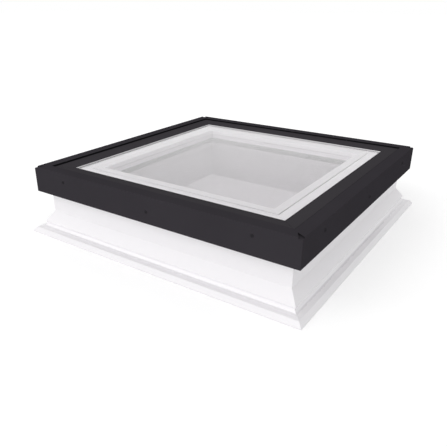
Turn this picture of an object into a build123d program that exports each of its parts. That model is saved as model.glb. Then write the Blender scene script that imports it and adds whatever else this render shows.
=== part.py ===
from build123d import *
import os

# Fixed flat-roof skylight: a white plastic upstand, a glazing frame with a stepped
# triple glazing unit, and dark metal cladding. Millimetres, +Z up. The origin is the
# middle of the underside, -Y is the front.
os.makedirs("parts", exist_ok=True)

# Plan sizes, each from the middle of the skylight out to one side
CLAD_HALF = 500.0  # outer face of the cladding
TOE_HALF = 525.0  # tip of the upstand's foot
UPSTAND_HALF = 466.0  # outer wall of the upstand
SHAFT_HALF = 350.0  # inner wall of the light shaft
GLASS_HALF = 404.0  # edge of the glass left in view by the cladding

# Heights above the roof
TOTAL_HEIGHT = 240.0
CLAD_BOTTOM = 152.0
UPSTAND_TOP = 156.0
FRAME_BOTTOM = 160.0
GLASS_TOP = 225.5

# Upstand section, each point given as (distance from the middle, height)
TOE_EDGE = 5.0
FOOT_TOP = (514.0, 17.0)
FOOT_HEEL = (494.0, 21.5)
FOOT_NECK = (488.5, 28.0)
SHOULDER = (489.5, 41.0)
SHOULDER_TOP = 74.0
BEAD = (487.0, 36.5)
BEAD_RADIUS = 4.5
TOE_RADIUS = 3.0
FOOT_RADIUS = 12.0
HEEL_HOLLOW = 8.0
WALL_HOLLOW = 12.0
UPSTAND_WALL = 3.5
WEB = 2.5
CORE_INNER = 387.5
CORE_OUTER = 448.0
INNER_WEB_HEIGHTS = (52.0, 104.0)
OUTER_WEB_HEIGHTS = (27.0, 72.0, 115.0)

# Glazing unit, from the top pane down
OUTER_PANE = 6.0
MIDDLE_PANE = 4.0
INNER_PANE = 6.8
CAVITY = 16.0
OUTER_PANE_HALF = 458.0
INNER_PANE_HALF = 365.0
SPACER_INNER = 335.0
SPACER_WIDTH = 8.0
SEAL_HALF = 364.0
GLASS_ARRIS = 0.8
TAPE = 1.0
TAPE_RING = (425.0, 445.0)

# Glazing frame section
FRAME_HALF = 495.0
FRAME_WALL = 3.0
REBATE_HALF = 367.0
UPSTAND_LIP = 466.0
SKIRT_HALF = 471.0
SKIRT_BOTTOM = 154.0
REBATE_GASKET = 3.7
REBATE_RING = (352.0, 364.0)
FRAME_WEB = 2.0
INNER_CHAMBER = 397.0
OUTER_CHAMBER = 466.0
INNER_CHAMBER_WEB = 195.0
OUTER_CHAMBER_WEBS = (178.0, 200.0, 220.0)
INNER_SEAL_RING = (351.0, 362.0)
OUTER_SEAL_RING = (452.0, 463.0)

# Cladding section
SHEET = 2.0
LEDGE_WIDTH = 40.0
STEP_DOWN = 4.5
LIP_TOP = 228.6
LIP_RETURN = 26.0
LIP_EDGE_RADIUS = 0.9
NOTCH_END = 474.0  # inner end of the corner notch, from the middle
NOTCH_MOUTH = 12.0  # length that the notch takes off each face
ARRIS_RADIUS = 1.6
GASKET_SETBACK = 1.5
GASKET_WIDTH = 12.0

# Steel stiffener
STEEL_WALL = 1.75
STEEL_SIZE = (64.0, 48.0)
STEEL_RADIUS = 3.5
STEEL_HALF_LENGTH = 388.0

# Fixings
SCREW = 4.2
SCREW_HEAD = 9.0
SCREW_HEAD_HEIGHT = 2.4
SCREW_HEAD_BEVEL = 1.1
SCREW_LENGTH = 24.0
RECESS_ARM = 5.0
RECESS_WIDTH = 1.1
RECESS_DEPTH = 1.4
CLAD_SCREWS = ((-360.0, 210.0), (0.0, 190.0), (360.0, 210.0))
KEY_LEG = 58.0
KEY_BOTTOM = 166.0
STRIP_OUT = 375.0
STRIP_NECK = 4.0
STRIP_HEAD = (10.0, 3.0)
STRIP_HALF_LENGTH = 360.0
BLOCK_LENGTH = 60.0
BLOCK_SPACING = 250.0

# Worked out from the sizes above
outer_pane_bottom = GLASS_TOP - OUTER_PANE
middle_pane_top = outer_pane_bottom - CAVITY
inner_pane_top = middle_pane_top - MIDDLE_PANE - CAVITY
unit_bottom = inner_pane_top - INNER_PANE
frame_ledge = outer_pane_bottom - TAPE
rebate_floor = unit_bottom - REBATE_GASKET
ledge_underside = TOTAL_HEIGHT - SHEET
frame_floor = FRAME_BOTTOM + FRAME_WALL
seal_inner = SPACER_INNER + SPACER_WIDTH
step_half = CLAD_HALF - LEDGE_WIDTH
step_bottom = TOTAL_HEIGHT - STEP_DOWN
frame_top = step_bottom - SHEET
cladding_inner = CLAD_HALF - SHEET
lip_slope = (step_bottom - LIP_TOP) / (step_half - GLASS_HALF)
lip_drop = SHEET * (1 + lip_slope**2) ** 0.5
block_height = inner_pane_top + CAVITY / 2

SIDES = {"front": -90, "right": 0, "back": 90, "left": 180}
CORNERS = {"front_right": -90, "back_right": 0, "back_left": 90, "front_left": 180}


def outward(angle):
    """Direction that points away from the middle on one side."""
    return Vector(1, 0, 0).rotate(Axis.Z, angle)


def section_plane(angle):
    """Upright plane across one side: local x runs outward, local y runs up."""
    away = outward(angle)
    return Plane(origin=(0, 0, 0), x_dir=away, z_dir=away.cross(Vector(0, 0, 1)))


def face_plane(angle, reach):
    """Upright plane that lies on one side's face: local x runs along it, local y up."""
    away = outward(angle)
    return Plane(origin=away * reach, x_dir=Vector(0, 0, 1).cross(away), z_dir=away)


def mitre(angle):
    """Cut both ends of the length being built to 45 degrees."""
    away = outward(angle)
    length = away.cross(Vector(0, 0, 1))
    for end in (length, -length):
        split(bisect_by=Plane(origin=(0, 0, 0), z_dir=away + end), keep=Keep.TOP)


def save(part, name):
    """Label one finished piece and write it."""
    part.label = name
    export_step(part, f"parts/{name}.step")


def chambered(outline, wall, webs):
    """Hollow out a section and put back its webs, each given as (centre, size)."""
    with BuildSketch() as section:
        add(outline)
        offset(outline.face(), amount=-wall, kind=Kind.INTERSECTION, mode=Mode.SUBTRACT)
        for centre, size in webs:
            with Locations(centre):
                Rectangle(*size)
        add(outline, mode=Mode.INTERSECT)
    return section.sketch


def square_ring(inner, outer, bottom, height):
    """A flat square ring between two half widths."""
    with BuildPart() as ring:
        with BuildSketch(Plane.XY.offset(bottom)):
            Rectangle(2 * outer, 2 * outer)
            Rectangle(2 * inner, 2 * inner, mode=Mode.SUBTRACT)
        extrude(amount=height)
    return ring.part


def cross_head_screw():
    """A pan-head screw, its head resting on z = 0 and its blunt end down."""
    rim = SCREW_HEAD_HEIGHT - SCREW_HEAD_BEVEL
    with BuildPart() as screw:
        with BuildSketch(Plane.XZ):
            with BuildLine():
                Polyline(
                    (0, SCREW_HEAD_HEIGHT),
                    (0, -SCREW_LENGTH),
                    (SCREW / 2, -SCREW_LENGTH),
                    (SCREW / 2, 0),
                    (SCREW_HEAD / 2, 0),
                    (SCREW_HEAD / 2, rim),
                    (SCREW_HEAD / 2 - SCREW_HEAD_BEVEL, SCREW_HEAD_HEIGHT),
                    close=True,
                )
            make_face()
        revolve(axis=Axis.Z)
        with BuildSketch(Plane.XY.offset(SCREW_HEAD_HEIGHT)):
            Rectangle(RECESS_ARM, RECESS_WIDTH)
            Rectangle(RECESS_WIDTH, RECESS_ARM)
        extrude(amount=-RECESS_DEPTH, mode=Mode.SUBTRACT)
    return screw.part


def upstand_outline():
    """Straight wall, sloping shoulder, neck and low foot of the upstand."""
    with BuildSketch() as section:
        with BuildLine():
            Polyline(
                (SHAFT_HALF, 0),
                (TOE_HALF, 0),
                (TOE_HALF, TOE_EDGE),
                FOOT_TOP,
                FOOT_HEEL,
                FOOT_NECK,
                SHOULDER,
                (UPSTAND_HALF, SHOULDER_TOP),
                (UPSTAND_HALF, UPSTAND_TOP),
                (SHAFT_HALF, UPSTAND_TOP),
                close=True,
            )
        make_face()
        corners = section.vertices()
        rounded = {
            (TOE_HALF, TOE_EDGE): TOE_RADIUS,
            FOOT_TOP: FOOT_RADIUS,
            FOOT_HEEL: HEEL_HOLLOW,
            (UPSTAND_HALF, SHOULDER_TOP): WALL_HOLLOW,
        }
        for point, radius in rounded.items():
            fillet(corners.sort_by_distance(point)[0], radius=radius)
    return section.sketch


def upstand_section(outline):
    """The upstand's walls, with the webs that part its chambers."""
    middle = UPSTAND_TOP / 2
    inner_span = CORE_INNER - SHAFT_HALF
    outer_span = TOE_HALF - CORE_OUTER
    webs = [
        ((CORE_INNER - WEB / 2, middle), (WEB, UPSTAND_TOP)),
        ((CORE_OUTER + WEB / 2, middle), (WEB, UPSTAND_TOP)),
    ]
    for height in INNER_WEB_HEIGHTS:
        webs.append(((SHAFT_HALF + inner_span / 2, height), (inner_span, WEB)))
    for height in OUTER_WEB_HEIGHTS:
        webs.append(((CORE_OUTER + outer_span / 2, height), (outer_span, WEB)))
    with BuildSketch() as section:
        add(chambered(outline, UPSTAND_WALL, webs))
        with Locations(BEAD):
            Circle(BEAD_RADIUS)
        with Locations((STRIP_OUT, UPSTAND_TOP - UPSTAND_WALL / 2)):
            Rectangle(STRIP_NECK, UPSTAND_WALL, mode=Mode.SUBTRACT)
    return section.sketch


def frame_outline():
    """Glazing frame: rebate for the unit, ledge under the top pane, lip and skirt."""
    with BuildSketch() as section:
        with BuildLine():
            Polyline(
                (SHAFT_HALF, FRAME_BOTTOM),
                (SKIRT_HALF, FRAME_BOTTOM),
                (SKIRT_HALF, SKIRT_BOTTOM),
                (FRAME_HALF, SKIRT_BOTTOM),
                (FRAME_HALF, frame_top),
                (UPSTAND_LIP, frame_top),
                (UPSTAND_LIP, frame_ledge),
                (REBATE_HALF, frame_ledge),
                (REBATE_HALF, rebate_floor),
                (SHAFT_HALF, rebate_floor),
                close=True,
            )
        make_face()
    return section.sketch


def frame_section():
    """The glazing frame's walls and webs, with the stiffener's chamber in the middle."""
    outline = frame_outline()
    height = frame_top - SKIRT_BOTTOM
    middle = SKIRT_BOTTOM + height / 2
    inner_span = INNER_CHAMBER - REBATE_HALF
    outer_span = FRAME_HALF - OUTER_CHAMBER
    webs = [
        ((INNER_CHAMBER, middle), (FRAME_WEB, height)),
        ((OUTER_CHAMBER, middle), (FRAME_WEB, height)),
        ((REBATE_HALF + FRAME_WALL / 2, middle), (FRAME_WALL, height)),
        ((REBATE_HALF + inner_span / 2, INNER_CHAMBER_WEB), (inner_span, FRAME_WEB)),
    ]
    for level in OUTER_CHAMBER_WEBS:
        webs.append(((OUTER_CHAMBER + outer_span / 2, level), (outer_span, FRAME_WEB)))
    with BuildSketch() as section:
        add(chambered(outline, FRAME_WALL, webs))
        with Locations((STRIP_OUT, FRAME_BOTTOM + FRAME_WALL / 2)):
            Rectangle(STRIP_NECK, FRAME_WALL, mode=Mode.SUBTRACT)
    return section.sketch


def joining_strip_section():
    """Double-headed strip: one head in the upstand's slot, the other in the frame's."""
    lower_head = UPSTAND_TOP - UPSTAND_WALL - STRIP_HEAD[1] / 2
    upper_head = frame_floor + STRIP_HEAD[1] / 2
    with BuildSketch() as section:
        with Locations((STRIP_OUT, lower_head), (STRIP_OUT, upper_head)):
            Rectangle(*STRIP_HEAD)
        with Locations((STRIP_OUT, (lower_head + upper_head) / 2)):
            Rectangle(STRIP_NECK, upper_head - lower_head)
    return section.sketch


def lip_underside(reach):
    """Height of the sloping lip's underside at a given distance from the middle."""
    return LIP_TOP - lip_drop + lip_slope * (reach - GLASS_HALF)


def cladding_section():
    """Bent metal section: bottom return, face, hollow ledge, step and sloping inner lip."""
    inner_step = step_half + SHEET
    with BuildSketch() as section:
        with BuildLine():
            Polyline(
                (CLAD_HALF - LIP_RETURN, CLAD_BOTTOM),
                (CLAD_HALF, CLAD_BOTTOM),
                (CLAD_HALF, TOTAL_HEIGHT),
                (step_half, TOTAL_HEIGHT),
                (step_half, step_bottom),
                (GLASS_HALF, LIP_TOP),
                (GLASS_HALF, lip_underside(GLASS_HALF)),
                (inner_step, lip_underside(inner_step)),
                (inner_step, ledge_underside),
                (cladding_inner, ledge_underside),
                (cladding_inner, SKIRT_BOTTOM),
                (CLAD_HALF - LIP_RETURN, SKIRT_BOTTOM),
                close=True,
            )
        make_face()
        corners = section.vertices()
        bends = ((CLAD_HALF, TOTAL_HEIGHT), (step_half, TOTAL_HEIGHT), (CLAD_HALF, CLAD_BOTTOM))
        for bend in bends:
            fillet(corners.sort_by_distance(bend)[0], radius=ARRIS_RADIUS)
        fillet(corners.sort_by_distance((GLASS_HALF, LIP_TOP))[0], radius=LIP_EDGE_RADIUS)
    return section.sketch


def corner_notch():
    """Wedge in plan that opens towards the corner, its middle line along x."""
    tip = NOTCH_END * 2**0.5
    mouth = (2 * CLAD_HALF - NOTCH_MOUTH) / 2**0.5
    past_corner = (CLAD_HALF + NOTCH_MOUTH) * 2**0.5
    half_width = (past_corner - tip) * NOTCH_MOUTH / 2**0.5 / (mouth - tip)
    with BuildSketch() as notch:
        Polygon((tip, 0), (past_corner, -half_width), (past_corner, half_width), align=None)
    return notch.sketch


def corner_angle(inner):
    """An L in plan round one corner, from a given distance out to the cladding."""
    end = cladding_inner - KEY_LEG
    with BuildSketch() as corner:
        with BuildLine():
            Polyline(
                (cladding_inner, cladding_inner),
                (cladding_inner, end),
                (inner, end),
                (inner, inner),
                (end, inner),
                (end, cladding_inner),
                close=True,
            )
        make_face()
    return corner.sketch


def lip_gasket_section():
    """Wedge of rubber between the cladding's inner lip and the top pane."""
    near = GLASS_HALF + GASKET_SETBACK
    far = near + GASKET_WIDTH
    with BuildSketch() as section:
        with BuildLine():
            Polyline(
                (near, GLASS_TOP),
                (far, GLASS_TOP),
                (far, lip_underside(far)),
                (near, lip_underside(near)),
                close=True,
            )
        make_face()
    return section.sketch


# Upstand: four chambered lengths, welded at the mitres, each round its own foam core
outline = upstand_outline()
for side, angle in SIDES.items():
    with BuildPart() as upstand:
        with BuildSketch(section_plane(angle)):
            add(upstand_section(outline))
        extrude(amount=TOE_HALF, both=True)
        mitre(angle)
    save(upstand.part, f"upstand_{side}")

    with BuildPart() as core:
        with BuildSketch(section_plane(angle)):
            offset(outline.face(), amount=-UPSTAND_WALL, kind=Kind.INTERSECTION, mode=Mode.ADD)
            with Locations(((CORE_INNER + CORE_OUTER) / 2, UPSTAND_TOP / 2)):
                Rectangle(CORE_OUTER - CORE_INNER, UPSTAND_TOP, mode=Mode.INTERSECT)
        extrude(amount=TOE_HALF, both=True)
        mitre(angle)
    save(core.part, f"foam_core_{side}")

# Glazing frame: four chambered lengths, each with a steel stiffener pushed in and a
# double-headed strip that locks it down to the upstand
for side, angle in SIDES.items():
    with BuildPart() as frame:
        with BuildSketch(section_plane(angle)):
            add(frame_section())
        extrude(amount=TOE_HALF, both=True)
        mitre(angle)
        with Locations(face_plane(angle, FRAME_HALF)):
            with Locations(*CLAD_SCREWS):
                Hole(SCREW / 2, depth=FRAME_WALL)
    save(frame.part, f"glazing_frame_{side}")

    with BuildPart() as stiffener:
        web_face = INNER_CHAMBER + FRAME_WEB / 2
        with BuildSketch(section_plane(angle)):
            with Locations((web_face + STEEL_SIZE[0] / 2, frame_floor + STEEL_SIZE[1] / 2)):
                RectangleRounded(*STEEL_SIZE, radius=STEEL_RADIUS)
                Rectangle(
                    STEEL_SIZE[0] - 2 * STEEL_WALL,
                    STEEL_SIZE[1] - 2 * STEEL_WALL,
                    mode=Mode.SUBTRACT,
                )
        extrude(amount=STEEL_HALF_LENGTH, both=True)
    save(stiffener.part, f"steel_stiffener_{side}")

    with BuildPart() as strip:
        with BuildSketch(section_plane(angle)):
            add(joining_strip_section())
        extrude(amount=STRIP_HALF_LENGTH, both=True)
    save(strip.part, f"joining_strip_{side}")

# Cladding: four lengths that meet at tight mitres, with a notch in the ledge's corners
for side, angle in SIDES.items():
    with BuildPart() as cladding:
        with BuildSketch(section_plane(angle)):
            add(cladding_section())
        extrude(amount=TOE_HALF, both=True)
        mitre(angle)
        with Locations(face_plane(angle, CLAD_HALF)):
            with Locations(*CLAD_SCREWS):
                Hole(SCREW / 2, depth=SHEET)
        with BuildSketch(Plane.XY.offset(TOTAL_HEIGHT)):
            for end in (-45, 45):
                with Locations(Location((0, 0), angle + end)):
                    add(corner_notch())
        extrude(amount=-STEP_DOWN, mode=Mode.SUBTRACT)
    save(cladding.part, f"cladding_{side}")

# Corner keys: angles behind the cladding, each with a plate that lies on the frame's lip
# and closes the notch from below
for corner, angle in CORNERS.items():
    with BuildPart() as key:
        with BuildSketch(Plane.XY.rotated((0, 0, angle)).offset(KEY_BOTTOM)):
            add(corner_angle(FRAME_HALF))
        extrude(amount=frame_top - KEY_BOTTOM)
        with BuildSketch(Plane.XY.rotated((0, 0, angle)).offset(frame_top)):
            add(corner_angle(UPSTAND_LIP))
        extrude(amount=SHEET)
    save(key.part, f"corner_key_{corner}")

# Glazing unit: the top pane overhangs, the lower two sit inside the frame
PANES = {
    "outer_pane": (OUTER_PANE_HALF, outer_pane_bottom, OUTER_PANE),
    "middle_pane": (INNER_PANE_HALF, middle_pane_top - MIDDLE_PANE, MIDDLE_PANE),
    "inner_laminated_pane": (INNER_PANE_HALF, unit_bottom, INNER_PANE),
}
for name, (half, bottom, thickness) in PANES.items():
    with BuildPart() as pane:
        with BuildSketch(Plane.XY.offset(bottom)):
            Rectangle(2 * half, 2 * half)
        extrude(amount=thickness)
        rim = pane.edges().filter_by(Plane.XY)
        chamfer(rim, length=GLASS_ARRIS)
    save(pane.part, name)

for level, bottom in (("upper", middle_pane_top), ("lower", inner_pane_top)):
    save(square_ring(SPACER_INNER, seal_inner, bottom, CAVITY), f"{level}_spacer")
    save(square_ring(seal_inner, SEAL_HALF, bottom, CAVITY), f"{level}_edge_seal")

# Rubber: under the cladding's lip, under the top pane, under the unit, under the frame
for side, angle in SIDES.items():
    with BuildPart() as lip_gasket:
        with BuildSketch(section_plane(angle)):
            add(lip_gasket_section())
        extrude(amount=TOE_HALF, both=True)
        mitre(angle)
    save(lip_gasket.part, f"lip_gasket_{side}")
save(square_ring(*TAPE_RING, frame_ledge, TAPE), "glazing_tape")
save(square_ring(*REBATE_RING, rebate_floor, REBATE_GASKET), "rebate_gasket")
seal_height = FRAME_BOTTOM - UPSTAND_TOP
save(square_ring(*INNER_SEAL_RING, UPSTAND_TOP, seal_height), "inner_frame_seal")
save(square_ring(*OUTER_SEAL_RING, UPSTAND_TOP, seal_height), "outer_frame_seal")

# Setting blocks: two a side, between the unit's edge and the rebate
with BuildPart() as blocks:
    for angle in SIDES.values():
        with BuildSketch(face_plane(angle, SEAL_HALF)):
            with Locations((-BLOCK_SPACING, block_height), (BLOCK_SPACING, block_height)):
                Rectangle(BLOCK_LENGTH, CAVITY - 2 * GLASS_ARRIS)
        extrude(amount=REBATE_HALF - SEAL_HALF)
save(blocks.part, "setting_blocks")

# Screws: three a side, through the cladding's face into the frame
screw = cross_head_screw()
with BuildPart() as screws:
    for angle in SIDES.values():
        with Locations(face_plane(angle, CLAD_HALF)):
            with Locations(*CLAD_SCREWS):
                add(screw)
save(screws.part, "cladding_screws")
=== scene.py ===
import bmesh
import bpy
import math
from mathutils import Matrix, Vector


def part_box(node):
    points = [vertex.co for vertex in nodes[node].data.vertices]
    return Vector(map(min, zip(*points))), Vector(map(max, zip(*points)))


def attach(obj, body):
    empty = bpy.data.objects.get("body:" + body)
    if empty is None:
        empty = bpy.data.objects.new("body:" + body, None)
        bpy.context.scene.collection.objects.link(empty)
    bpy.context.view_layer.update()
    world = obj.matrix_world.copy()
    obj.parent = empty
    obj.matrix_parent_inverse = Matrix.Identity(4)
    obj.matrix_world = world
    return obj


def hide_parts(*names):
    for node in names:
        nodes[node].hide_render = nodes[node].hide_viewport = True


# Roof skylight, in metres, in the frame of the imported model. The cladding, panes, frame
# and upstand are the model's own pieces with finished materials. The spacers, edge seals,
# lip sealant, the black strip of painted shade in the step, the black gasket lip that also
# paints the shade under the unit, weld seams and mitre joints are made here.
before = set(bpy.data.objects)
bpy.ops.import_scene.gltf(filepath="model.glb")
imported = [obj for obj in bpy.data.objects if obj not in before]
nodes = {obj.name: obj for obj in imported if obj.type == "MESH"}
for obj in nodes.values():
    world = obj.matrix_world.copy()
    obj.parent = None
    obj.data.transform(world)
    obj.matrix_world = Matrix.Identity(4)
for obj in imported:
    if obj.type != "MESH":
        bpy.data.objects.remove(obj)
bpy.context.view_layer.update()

SIDES = 4
CORNERS = ("front_right", "back_right", "back_left", "front_left")
MM = 0.001
TOUCHING = 0.001 * MM  # points nearer than this count as one
DECIMALS = 6  # kept where distances out are compared
ROUND_STEPS = 5  # steps in a rounded section

# Camera, fitted to the photograph's perspective
CAMERA_PLACE = (0.9302, -1.5119, 0.7587)
CAMERA_YAW = 34.66
CAMERA_DOWN = 23.98
CAMERA_NEAR = 0.05
PHOTO_SIZE = 447
FOCAL_PIXELS = 501.0
CENTRE_PIXEL_X = 210.2
SENSOR = 36.0

# Light: a broad soft lamp from the front left, a plain sky and a pale floor
WHITE = (1, 1, 1, 1)
SKY_LIGHT = 0.82
SKY_SEEN = 1.0
LAMP_FROM = (-0.36, -0.88, 0.30)
LAMP_STRENGTH = 1.20
LAMP_ANGLE = 70.0
FLOOR_SHADE = 0.88
FLOOR_GLOW = 0.26
FLOOR_HALF = 30.0
FLOOR_DROP = 0.0004
MOST_BOUNCES = 28
PANE_BOUNCES = 24

# Finishes: a noise value runs mostly between its low and its high
NOISE_LOW = 0.3
NOISE_HIGH = 0.7
COAT_GRAIN_SHARE = 0.35
PVC_DARK = (0.841, 0.825, 0.847)
PVC_LIGHT = (0.849, 0.833, 0.855)

# Upstand's glossy bead, by its place on the section
BEAD_LOW = 0.0205
BEAD_HIGH = 0.0370
BEAD_FADE = 0.0015
BEAD_REACH = 0.480
BEAD_GLOSS = 0.12  # how much less rough it is

# Glazing unit
SEATING = 0.00008  # how far the spacers and seals press into the pane below
PANE_GAP = 0.00005  # film of air left under the pane above
SPACER_WIDTH = 0.008
SEAL_WIDTH = 0.021
SPACER_ARRIS = 0.0005
DRYING_HOLE_RADIUS = 0.0007
DRYING_HOLE_DEPTH = 0.0012
DRYING_HOLE_PITCH = 0.012
DRYING_HOLE_SIDES = 8
DRYING_HOLE_START = -135  # degrees, towards the cell's first corner

# Cladding's lip and ledge: the lip's inner edge, and the step between the two
LIP_EDGE = 0.404
LIP_EDGE_TOP = 0.2286
STEP_REACH = 0.460
STEP_BOTTOM = 0.2355

# Sealant between the lip and the glass
SEALANT_DROP = 0.0005  # how far its top stays under the lip's edge
SEALANT_TOE = 0.0030
SEALANT_BACK = 0.2 * MM  # how far it goes into the lip's edge

# Black strip in the step: painted shade in its groove
STEP_SHADE_FOOT = 0.0050
STEP_SHADE_HEIGHT = 0.0040
STEP_SHADE_THICKNESS = 0.0006

# Glazing gasket's visible lip, on the frame's inner wall; its black also paints the shade under the unit
SHADE_GASKET_GAP = 0.0005
SHADE_GASKET_THICKNESS = 0.0016
SHADE_GASKET_RIM = 0.4  # its thickness at the rims, as a share

# Seams at the mitres
WELD_RADIUS = 0.0005
WELD_SINK = 0.0003
WELD_TOP_GAP = MM  # how far it stops under the upstand's top
WELD_TIP_GAP = 0.3 * MM  # how far it stays inside the foot's outer edge
JOINT_RADIUS = 0.0003
JOINT_SINK = 0.0002
SEAM_SIDES = 8
FRAME_LEDGE = 0.2185
REBATE_REACH = 0.367


def camera():
    """The photograph's camera: a fitted place, angle and focal length."""
    data = bpy.data.cameras.new("camera")
    data.sensor_width = SENSOR
    data.lens = SENSOR * FOCAL_PIXELS / PHOTO_SIZE
    data.shift_x = (PHOTO_SIZE / 2 - CENTRE_PIXEL_X) / PHOTO_SIZE
    data.clip_start = CAMERA_NEAR
    obj = bpy.data.objects.new("camera", data)
    obj.location = CAMERA_PLACE
    obj.rotation_euler = (math.radians(90 - CAMERA_DOWN), 0, math.radians(CAMERA_YAW))
    bpy.context.scene.collection.objects.link(obj)
    bpy.context.scene.camera = obj


def material(name):
    """A material: its node tree and its surface shader."""
    mat = bpy.data.materials.new(name)
    mat.use_nodes = True
    tree = mat.node_tree
    return mat, tree, tree.nodes["Principled BSDF"]


def place(tree, stretch=(1, 1, 1)):
    """Position on the object, stretched along its axes."""
    coords = tree.nodes.new("ShaderNodeTexCoord")
    mapping = tree.nodes.new("ShaderNodeMapping")
    mapping.inputs["Scale"].default_value = stretch
    tree.links.new(coords.outputs["Object"], mapping.inputs["Vector"])
    return mapping.outputs["Vector"]


def noise(tree, where, scale, detail=3.0):
    """Soft noise of a given scale."""
    made = tree.nodes.new("ShaderNodeTexNoise")
    made.inputs["Scale"].default_value = scale
    made.inputs["Detail"].default_value = detail
    tree.links.new(where, made.inputs["Vector"])
    return made.outputs["Fac"]


def spread(tree, value, low, high, start=NOISE_LOW, end=NOISE_HIGH):
    """A value mapped from the range start to end onto the range low to high."""
    made = tree.nodes.new("ShaderNodeMapRange")
    made.inputs["From Min"].default_value = start
    made.inputs["From Max"].default_value = end
    made.inputs["To Min"].default_value = low
    made.inputs["To Max"].default_value = high
    tree.links.new(value, made.inputs["Value"])
    return made.outputs["Result"]


def shades(tree, value, dark, light):
    """A colour between two shades, by a noise value."""
    ramp = tree.nodes.new("ShaderNodeValToRGB")
    low, high = ramp.color_ramp.elements
    low.position, low.color = NOISE_LOW, (*dark, 1)
    high.position, high.color = NOISE_HIGH, (*light, 1)
    tree.links.new(value, ramp.inputs["Fac"])
    return ramp.outputs["Color"]


def maths(tree, kind, *values):
    """One arithmetic step on linked or plain values."""
    made = tree.nodes.new("ShaderNodeMath")
    made.operation = kind
    for socket, value in zip(made.inputs, values):
        if isinstance(value, (int, float)):
            socket.default_value = value
        else:
            tree.links.new(value, socket)
    return made.outputs[0]


def bump(tree, shader, height, strength, distance):
    """Raise or lower the surface by a height value."""
    made = tree.nodes.new("ShaderNodeBump")
    made.inputs["Strength"].default_value = strength
    made.inputs["Distance"].default_value = distance
    tree.links.new(height, made.inputs["Height"])
    tree.links.new(made.outputs["Normal"], shader.inputs["Normal"])


def position(tree):
    """Distance out from the middle, measured square to the sides, and height."""
    coords = tree.nodes.new("ShaderNodeTexCoord")
    parts = tree.nodes.new("ShaderNodeSeparateXYZ")
    tree.links.new(coords.outputs["Object"], parts.inputs["Vector"])
    x, y, height = (parts.outputs[axis] for axis in "XYZ")
    return maths(tree, "MAXIMUM", maths(tree, "ABSOLUTE", x), maths(tree, "ABSOLUTE", y)), height


def blend_colour(tree, mask, first, second):
    """One colour turning into another as a mask goes from 0 to 1."""
    mix = tree.nodes.new("ShaderNodeMix")
    mix.data_type = "RGBA"
    first_socket, second_socket, result = mix.inputs[6], mix.inputs[7], mix.outputs[2]
    tree.links.new(mask, mix.inputs["Factor"])
    tree.links.new(first, first_socket)
    tree.links.new(second, second_socket)
    return result


def powder_coat():
    """Dark grey powder coat: fine grain, faint cloudiness, quite matt, paler on the lip as painted sheen."""
    mat, tree, shader = material("powder_coat")
    where = place(tree)
    grain = noise(tree, where, scale=900.0, detail=2.0)
    cloud = noise(tree, where, scale=6.0)
    grain_part = maths(tree, "MULTIPLY", grain, COAT_GRAIN_SHARE)
    cloud_part = maths(tree, "MULTIPLY", cloud, 1 - COAT_GRAIN_SHARE)
    both = maths(tree, "ADD", grain_part, cloud_part)
    face = shades(tree, both, dark=(0.0348, 0.0318, 0.0370), light=(0.0392, 0.0360, 0.0418))
    # The lip's paler colour is painted sheen: the light that the lip's slope catches.
    lip = shades(tree, both, dark=(0.0425, 0.0395, 0.0440), light=(0.0475, 0.0442, 0.0492))
    reach, _ = position(tree)
    painted_sheen_on_lip = spread(tree, reach, low=1, high=0, start=STEP_REACH - MM, end=STEP_REACH)
    tree.links.new(blend_colour(tree, painted_sheen_on_lip, face, lip), shader.inputs["Base Color"])
    tree.links.new(spread(tree, cloud, low=0.50, high=0.58), shader.inputs["Roughness"])
    shader.inputs["Specular IOR Level"].default_value = 0.0
    bump(tree, shader, grain, strength=0.35, distance=0.06 * MM)
    return mat


def bead_mask(tree):
    """1 on the glossy bead round the upstand's foot, 0 elsewhere."""
    reach, height = position(tree)
    outside = maths(tree, "GREATER_THAN", reach, BEAD_REACH)
    over = spread(tree, height, low=0, high=1, start=BEAD_LOW - BEAD_FADE, end=BEAD_LOW + BEAD_FADE)
    under = spread(tree, height, low=1, high=0, start=BEAD_HIGH - BEAD_FADE, end=BEAD_HIGH + BEAD_FADE)
    return maths(tree, "MULTIPLY", outside, maths(tree, "MULTIPLY", over, under))


def white_pvc(name, dark, light, bead=False):
    """White extruded plastic: satin, with faint draw lines and soft variation."""
    mat, tree, shader = material(name)
    cloud = noise(tree, place(tree), scale=45.0)
    lines = noise(tree, place(tree, stretch=(2, 2, 140)), scale=1.0, detail=1.0)
    colour = shades(tree, cloud, dark, light)
    rough = spread(tree, cloud, low=0.29, high=0.35)
    if bead:
        rough = maths(tree, "SUBTRACT", rough, maths(tree, "MULTIPLY", bead_mask(tree), BEAD_GLOSS))
    tree.links.new(colour, shader.inputs["Base Color"])
    tree.links.new(rough, shader.inputs["Roughness"])
    shader.inputs["Specular IOR Level"].default_value = 0.8
    bump(tree, shader, lines, strength=0.05, distance=0.06 * MM)
    return mat


def pane(name, tint, ior):
    """Glass with a faint roller wave, tinted by its coating."""
    mat, tree, shader = material(name)
    shader.inputs["Transmission Weight"].default_value = 1.0
    shader.inputs["Base Color"].default_value = (*tint, 1)
    shader.inputs["Roughness"].default_value = 0.0
    shader.inputs["IOR"].default_value = ior
    wave = noise(tree, place(tree), scale=2.2, detail=1.0)
    bump(tree, shader, wave, strength=0.01, distance=0.1 * MM)
    return mat


def matt(name, dark, light, rough, sheen=0.3):
    """Rubber, sealant, plastic or coating with a fine matt skin."""
    mat, tree, shader = material(name)
    fine = noise(tree, place(tree), scale=320.0)
    tree.links.new(shades(tree, fine, dark, light), shader.inputs["Base Color"])
    tree.links.new(spread(tree, fine, low=rough - 0.05, high=rough + 0.05), shader.inputs["Roughness"])
    shader.inputs["Specular IOR Level"].default_value = sheen
    bump(tree, shader, fine, strength=0.2, distance=0.1 * MM)
    return mat


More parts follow.
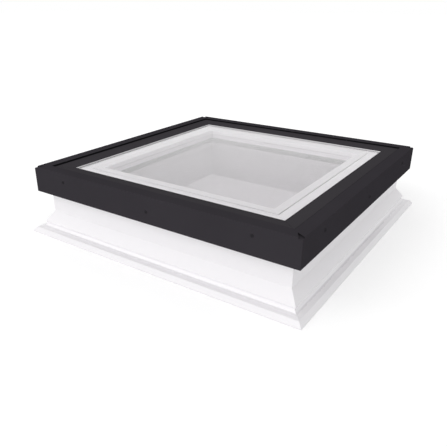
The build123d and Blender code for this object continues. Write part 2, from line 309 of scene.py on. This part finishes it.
def metal(name, dark, light, rough):
    """Plated metal with fine mottled marks."""
    mat, tree, shader = material(name)
    marks = noise(tree, place(tree), scale=60.0, detail=4.0)
    tree.links.new(shades(tree, marks, dark, light), shader.inputs["Base Color"])
    tree.links.new(spread(tree, marks, low=rough - 0.06, high=rough + 0.08), shader.inputs["Roughness"])
    shader.inputs["Metallic"].default_value = 1.0
    bump(tree, shader, marks, strength=0.15, distance=0.1 * MM)
    return mat


def foam(name, dark, light):
    """Expanded foam: small packed beads."""
    mat, tree, shader = material(name)
    beads = tree.nodes.new("ShaderNodeTexVoronoi")
    beads.inputs["Scale"].default_value = 260.0
    tree.links.new(place(tree), beads.inputs["Vector"])
    distance = beads.outputs["Distance"]
    tree.links.new(shades(tree, distance, light, dark), shader.inputs["Base Color"])
    tree.links.new(spread(tree, distance, low=0.75, high=0.9), shader.inputs["Roughness"])
    bump(tree, shader, distance, strength=0.4, distance=0.6 * MM)
    return mat


def finishes():
    """Every material of the skylight, by name."""
    return {
        "coat": powder_coat(),
        "upstand": white_pvc("upstand_pvc", PVC_DARK, PVC_LIGHT, bead=True),
        "weld": white_pvc("weld_pvc", PVC_DARK, PVC_LIGHT),
        # The frame's PVC is the white PVC made darker: painted shade where it lies under the glass and unit.
        "frame": white_pvc("frame_pvc_painted_shade", (0.63, 0.618, 0.635), (0.65, 0.638, 0.655)),
        "clear": pane("clear_glass", tint=(1.0, 0.99, 1.0), ior=1.5),
        "middle": pane("middle_glass", tint=(1.0, 0.99, 1.0), ior=1.15),
        "coated": pane("coated_glass", tint=(0.60, 0.591, 0.602), ior=1.15),
        "spacer": matt("white_spacer", (0.88, 0.866, 0.884), (0.91, 0.896, 0.914), rough=0.45),
        "sealant": matt("white_sealant", (0.61, 0.602, 0.614), (0.65, 0.642, 0.654), rough=0.55),
        # The holes' dark bottoms are painted shade for the spacer's dark inside.
        "hole_shade": matt("hole_painted_shade", (0.10, 0.10, 0.10), (0.16, 0.16, 0.16), rough=0.8),
        "black": matt("black_rubber", (0.012, 0.012, 0.013), (0.022, 0.022, 0.023), rough=0.65),
        "grey": matt("grey_rubber", (0.52, 0.52, 0.525), (0.58, 0.58, 0.585), rough=0.6),
        # The dark joint colour is the mitre joints' own, and the painted shade of the step strip.
        "joint": matt("dark_joint_and_painted_shade", (0.006, 0.006, 0.007), (0.010, 0.010, 0.011), rough=0.7, sheen=0.0),
        "foam": foam("bead_foam", (0.62, 0.62, 0.61), (0.86, 0.86, 0.85)),
        "zinc": metal("zinc_steel", (0.42, 0.43, 0.44), (0.62, 0.63, 0.64), rough=0.42),
        "screw": matt("blackened_screw", (0.026, 0.025, 0.028), (0.034, 0.032, 0.036), rough=0.5, sheen=0.0),
    }


def dress(looks):
    """Give every node of the model its finished material."""
    worn = {
        "cladding_screws": "screw",
        "cladding_": "coat",
        "corner_key_": "coat",
        "upstand_": "upstand",
        "glazing_frame_": "frame",
        "outer_pane": "clear",
        "middle_pane": "middle",
        "inner_laminated_pane": "coated",
        "upper_spacer": "spacer",
        "lower_spacer": "spacer",
        "upper_edge_seal": "sealant",
        "lower_edge_seal": "sealant",
        "lip_gasket_": "black",
        "outer_frame_seal": "black",
        "inner_frame_seal": "grey",
        "rebate_gasket": "grey",
        "glazing_tape": "grey",
        "setting_blocks": "grey",
        "joining_strip_": "grey",
        "foam_core_": "foam",
        "steel_stiffener_": "zinc",
    }
    for name, obj in nodes.items():
        start = next(key for key in worn if name.startswith(key))
        obj.data.materials.clear()
        obj.data.materials.append(looks[worn[start]])


def fit(obj, stands_for=None):
    """Add a finished piece to the skylight."""
    bpy.context.scene.collection.objects.link(obj)
    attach(obj, "root")
    if stands_for:
        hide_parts(stands_for)


def turned(point, quarter):
    """A point of the right side, turned onto another side."""
    x, y, z = point
    for _ in range(quarter):
        x, y = -y, x
    return (x, y, z)


def solid(name, points, faces, looks, shade=None):
    """A mesh object, welded where its lengths meet, with its faces turned outward."""
    mesh = bpy.data.meshes.new(name)
    mesh.from_pydata(points, [], faces)
    for look in looks:
        mesh.materials.append(look)
    for face, skin in zip(mesh.polygons, shade or [0] * len(faces)):
        face.material_index = skin
    shell = bmesh.new()
    shell.from_mesh(mesh)
    bmesh.ops.remove_doubles(shell, verts=shell.verts, dist=TOUCHING)
    bmesh.ops.recalc_face_normals(shell, faces=shell.faces)
    shell.to_mesh(mesh)
    shell.free()
    return bpy.data.objects.new(name, mesh)


def ring_piece(name, section, extras, looks, sealed=(), cuts=()):
    """Four mitred lengths of one section, each of its points (distance out, height).

    The section is closed, unless extras, (points, faces, material) rows, close its gap.
    The faces after the section's points listed in sealed wear the last look. The lengths
    are divided at the cuts, distances along them.
    """
    points, faces, shade = [], [], []
    count = len(section)
    for quarter in range(SIDES):
        base = len(points)
        rows = [[(reach, -reach, height) for reach, height in section]]
        rows += [[(reach, cut, height) for reach, height in section] for cut in cuts]
        rows += [[(reach, reach, height) for reach, height in section]]
        for row in rows:
            points += [turned(point, quarter) for point in row]
        for near in range(base, base + count * (len(rows) - 1), count):
            for i in range(count - 1 if extras else count):
                j = (i + 1) % count
                faces.append((near + i, near + j, near + count + j, near + count + i))
                shade.append(len(looks) - 1 if i in sealed else 0)
        for extra_points, extra_faces, skin in extras:
            start = len(points)
            points += [turned(point, quarter) for point in extra_points]
            faces += [tuple(start + k for k in face) for face in extra_faces]
            shade += [skin] * len(extra_faces)
    return solid(name, points, faces, looks, shade)


def plain_ring(name, section, look, stands_for=None):
    """Four mitred lengths of one section, in one material."""
    fit(ring_piece(name, section, [], [look]), stands_for)


def drying_holes(reach, low, high):
    """A spacer's inner face on one side, with a row of small drying holes, one a cell.

    Returns its points, its faces, the holes' bottom faces and the borders between cells.
    """
    middle = (low + high) / 2
    count = int(2 * reach / DRYING_HOLE_PITCH) - 1
    borders = [-reach + 2 * reach * cell / count for cell in range(count + 1)]
    points, walls, bottoms = [], [], []
    for left, right in zip(borders, borders[1:]):
        corners = [(reach, left, low), (reach, right, low), (reach, right, high), (reach, left, high)]
        base = len(points)
        rim = base + len(corners)
        bottom = rim + DRYING_HOLE_SIDES
        points += corners
        for depth in (0, DRYING_HOLE_DEPTH):
            for step in range(DRYING_HOLE_SIDES):
                turn = math.radians(360 / DRYING_HOLE_SIDES * step + DRYING_HOLE_START)
                y = (left + right) / 2 + DRYING_HOLE_RADIUS * math.cos(turn)
                z = middle + DRYING_HOLE_RADIUS * math.sin(turn)
                points.append((reach + depth, y, z))
        for edge in range(len(corners)):
            # Two sides of the rim face each edge of the cell
            a, b, c = (rim + (2 * edge + k) % DRYING_HOLE_SIDES for k in range(3))
            walls.append((base + edge, base + (edge + 1) % len(corners), c, b, a))
        for step in range(DRYING_HOLE_SIDES):
            after = (step + 1) % DRYING_HOLE_SIDES
            walls.append((rim + step, rim + after, bottom + after, bottom + step))
        bottoms.append(tuple(bottom + step for step in range(DRYING_HOLE_SIDES)))
    return points, walls, bottoms, borders[1:-1]


def seating(name, width):
    """Inner and outer reach and lowest and highest level of a ring between two panes."""
    low_corner, high_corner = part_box(name)
    outer = high_corner[0]
    return outer - width, outer, low_corner[2] - SEATING, high_corner[2] - PANE_GAP


def spacer(name, looks):
    """White spacer bar round a cavity, with drying holes towards the cavity."""
    inner, outer, low, high = seating(name, SPACER_WIDTH)
    arris = SPACER_ARRIS
    section = [(inner, low + arris), (inner + arris, low), (outer, low)]
    section += [(outer, high), (inner + arris, high), (inner, high - arris)]
    against_panes = (1, 3)
    points, walls, bottoms, cuts = drying_holes(inner, low + arris, high - arris)
    # The holes' bottoms wear the dark look: painted shade inside the spacer.
    bar, hole_shade = 0, 1
    extras = [(points, walls, bar), (points, bottoms, hole_shade)]
    worn = [looks["spacer"], looks["hole_shade"], looks["sealant"]]
    bars = ring_piece(f"{name}_bars", section, extras, worn, against_panes, cuts)
    fit(bars, name)


def edge_seal(name, looks):
    """White sealant round the unit's edge, outside the spacer."""
    inner, outer, low, high = seating(name, SEAL_WIDTH)
    section = [(inner, low), (outer, low), (outer, high), (inner, high)]
    plain_ring(f"{name}_bead", section, looks["sealant"], name)


def lip_bead(looks):
    """White sealant in the corner between the cladding's inner edge and the glass."""
    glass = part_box("outer_pane")[1][2]
    top = LIP_EDGE_TOP - SEALANT_DROP
    curve = []
    for step in range(ROUND_STEPS + 1):
        turn = math.pi / 2 * step / ROUND_STEPS
        reach = LIP_EDGE - SEALANT_TOE * (1 - math.sin(turn))
        curve.append((reach, glass + (top - glass) * (1 - math.cos(turn))))
    toe = LIP_EDGE - SEALANT_TOE
    back = LIP_EDGE + SEALANT_BACK
    section = [(back, glass - SEATING), (toe, glass - SEATING), *curve, (back, top)]
    plain_ring("lip_sealant", section, looks["sealant"])


def step_shade_strip(looks):
    """Black strip in the corner between the cladding's ledge and its inner lip: painted shade in the step.
    """
    slope = (STEP_BOTTOM - LIP_EDGE_TOP) / (STEP_REACH - LIP_EDGE)
    toe = STEP_REACH - STEP_SHADE_FOOT
    toe_height = STEP_BOTTOM - slope * STEP_SHADE_FOOT
    top = STEP_BOTTOM + STEP_SHADE_HEIGHT
    face = STEP_REACH - STEP_SHADE_THICKNESS
    section = [
        (toe, toe_height - SEATING),
        (STEP_REACH + SEATING, STEP_BOTTOM - SEATING),
        (STEP_REACH + SEATING, top),
        (face, top - STEP_SHADE_THICKNESS),
        (face, STEP_BOTTOM + 2 * STEP_SHADE_THICKNESS),
        (toe, toe_height + STEP_SHADE_THICKNESS / 2),
    ]
    plain_ring("step_shade_strip", section, looks["joint"])


def shade_gasket(looks):
    """Visible lip of the glazing gasket, on the frame's inner wall below the unit; its black also paints the
    shade under the unit's edge.
    """
    low_corner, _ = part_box("glazing_frame_front")
    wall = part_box("upstand_right")[0][0]
    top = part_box("rebate_gasket")[0][2]
    low = low_corner[2] + SHADE_GASKET_GAP
    high = top - SHADE_GASKET_GAP
    section = [(wall + SEATING, low), (wall + SEATING, high)]
    for step in range(ROUND_STEPS + 1):
        turn = math.pi * step / ROUND_STEPS
        share = SHADE_GASKET_RIM + (1 - SHADE_GASKET_RIM) * math.sin(turn)
        bulge = SHADE_GASKET_THICKNESS * share
        section.append((wall - bulge, high + (low - high) * step / ROUND_STEPS))
    plain_ring("shade_gasket_lip", section, looks["black"])


def mitre_line(name):
    """Outline of a front length's right-hand mitre, as (distance out, height) in order."""
    shell = bmesh.new()
    shell.from_mesh(nodes[name].data)
    bmesh.ops.remove_doubles(shell, verts=shell.verts, dist=TOUCHING)
    cut = {v for v in shell.verts if abs(v.co.x + v.co.y) < TOUCHING and v.co.x > 0}
    beside = {}
    for edge in shell.edges:
        inside = [cut.issuperset(face.verts) for face in edge.link_faces]
        if cut.issuperset(edge.verts) and inside.count(True) == 1:
            first, second = edge.verts
            beside.setdefault(first, []).append(second)
            beside.setdefault(second, []).append(first)
    start = max(beside, key=lambda v: (round(v.co.x, DECIMALS), v.co.z))
    line = [start]
    last, here = None, start
    while True:
        options = [v for v in beside[here] if v is not last]
        last, here = here, options[0] if last else max(options, key=lambda v: v.co.z)
        if here is start:
            break
        line.append(here)
    result = [(v.co.x, v.co.z) for v in line]
    shell.free()
    return result


def seam(name, line, quarter, radius, look):
    """A thin round seam along a mitre, its line given as (distance out, height) points."""
    across = Vector((1, 1, 0)).normalized()
    path = [Vector((reach, -reach, height)) for reach, height in line]
    points, faces = [], []
    for index, middle in enumerate(path):
        along = path[min(index + 1, len(path) - 1)] - path[max(index - 1, 0)]
        normal = across.cross(along).normalized()
        for step in range(SEAM_SIDES):
            turn = 2 * math.pi * step / SEAM_SIDES
            spot = middle + radius * (math.cos(turn) * normal + math.sin(turn) * across)
            points.append(turned(spot, quarter))
    for index in range(len(path) - 1):
        near, far = index * SEAM_SIDES, (index + 1) * SEAM_SIDES
        for step in range(SEAM_SIDES):
            after = (step + 1) % SEAM_SIDES
            faces.append((near + step, near + after, far + after, far + step))
    last = (len(path) - 1) * SEAM_SIDES
    faces.append(tuple(reversed(range(SEAM_SIDES))))
    faces.append(tuple(range(last, last + SEAM_SIDES)))
    fit(solid(name, points, faces, [look]))


def seams(looks):
    """Weld seams of the upstand and glazing frame, and the cladding's mitre joints."""
    _, high_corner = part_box("upstand_front")
    weld = []
    for reach, height in mitre_line("upstand_front"):
        if height > high_corner[2] - WELD_TOP_GAP:
            break
        if reach < high_corner[0] - WELD_TIP_GAP:
            weld.append((reach - WELD_SINK, height))
    joint = [(STEP_REACH, STEP_BOTTOM - JOINT_SINK), (LIP_EDGE, LIP_EDGE_TOP - JOINT_SINK)]
    ledge = [(REBATE_REACH, FRAME_LEDGE), (STEP_REACH, FRAME_LEDGE)]
    for quarter, corner in enumerate(CORNERS):
        seam(f"upstand_weld_{corner}", weld, quarter, WELD_RADIUS, looks["weld"])
        seam(f"frame_weld_{corner}", ledge, quarter, WELD_RADIUS, looks["frame"])
        seam(f"cladding_joint_{corner}", joint, quarter, JOINT_RADIUS, looks["joint"])


def in_sight(tree):
    """1 where the surroundings are looked at, also in a reflection or through glass, else 0."""
    path = tree.nodes.new("ShaderNodeLightPath")
    seen = maths(tree, "MAXIMUM", path.outputs["Is Camera Ray"], path.outputs["Is Glossy Ray"])
    seen = maths(tree, "MAXIMUM", seen, path.outputs["Is Transmission Ray"])
    straight = maths(tree, "LESS_THAN", path.outputs["Diffuse Depth"], 1)
    return maths(tree, "MULTIPLY", seen, straight)


def backdrop_shader(tree, glow, shade):
    """Pale surface that also glows where it is looked at."""
    tree.nodes.clear()
    links = tree.links
    seen = in_sight(tree)
    emit = tree.nodes.new("ShaderNodeEmission")
    links.new(maths(tree, "MULTIPLY", seen, glow), emit.inputs["Strength"])
    diffuse = tree.nodes.new("ShaderNodeBsdfDiffuse")
    diffuse.inputs["Color"].default_value = (shade, shade, shade, 1)
    both = tree.nodes.new("ShaderNodeAddShader")
    links.new(emit.outputs[0], both.inputs[0])
    links.new(diffuse.outputs[0], both.inputs[1])
    output = tree.nodes.new("ShaderNodeOutputMaterial")
    links.new(both.outputs[0], output.inputs["Surface"])


def floor():
    """A plain pale floor that keeps the object's soft shadow."""
    mesh = bpy.data.meshes.new("floor")
    half = FLOOR_HALF
    corners = [(-half, -half, 0), (half, -half, 0), (half, half, 0), (-half, half, 0)]
    mesh.from_pydata(corners, [], [(0, 1, 2, 3)])
    obj = bpy.data.objects.new("floor", mesh)
    obj.location.z = -FLOOR_DROP
    mat = bpy.data.materials.new("floor")
    mat.use_nodes = True
    backdrop_shader(mat.node_tree, FLOOR_GLOW, FLOOR_SHADE)
    mesh.materials.append(mat)
    bpy.context.scene.collection.objects.link(obj)


def sky():
    """White surroundings in sight; a plain soft light on the object."""
    world = bpy.data.worlds.new("surroundings")
    bpy.context.scene.world = world
    world.use_nodes = True
    tree = world.node_tree
    tree.nodes.clear()
    mix = tree.nodes.new("ShaderNodeMixShader")
    tree.links.new(in_sight(tree), mix.inputs["Fac"])
    for socket, strength in zip(mix.inputs[1:], (SKY_LIGHT, SKY_SEEN)):
        background = tree.nodes.new("ShaderNodeBackground")
        background.inputs["Color"].default_value = WHITE
        background.inputs["Strength"].default_value = strength
        tree.links.new(background.outputs[0], socket)
    output = tree.nodes.new("ShaderNodeOutputWorld")
    tree.links.new(mix.outputs[0], output.inputs["Surface"])


def lamp():
    """One broad, soft lamp, far off."""
    data = bpy.data.lights.new("key", "SUN")
    data.energy = LAMP_STRENGTH
    data.angle = math.radians(LAMP_ANGLE)
    obj = bpy.data.objects.new("key", data)
    obj.rotation_euler = (-Vector(LAMP_FROM)).to_track_quat("-Z", "Y").to_euler()
    bpy.context.scene.collection.objects.link(obj)


def render_settings():
    """Plain colours, unblurred glass, and enough bounces for light to pass three panes twice."""
    scene = bpy.context.scene
    scene.view_settings.view_transform = "Standard"
    scene.cycles.max_bounces = MOST_BOUNCES
    scene.cycles.transmission_bounces = PANE_BOUNCES
    scene.cycles.transparent_max_bounces = PANE_BOUNCES
    scene.cycles.blur_glossy = 0.0


camera()
looks = finishes()
dress(looks)
for level in ("upper", "lower"):
    spacer(f"{level}_spacer", looks)
    edge_seal(f"{level}_edge_seal", looks)
lip_bead(looks)
step_shade_strip(looks)
shade_gasket(looks)
seams(looks)
floor()
sky()
lamp()
render_settings()
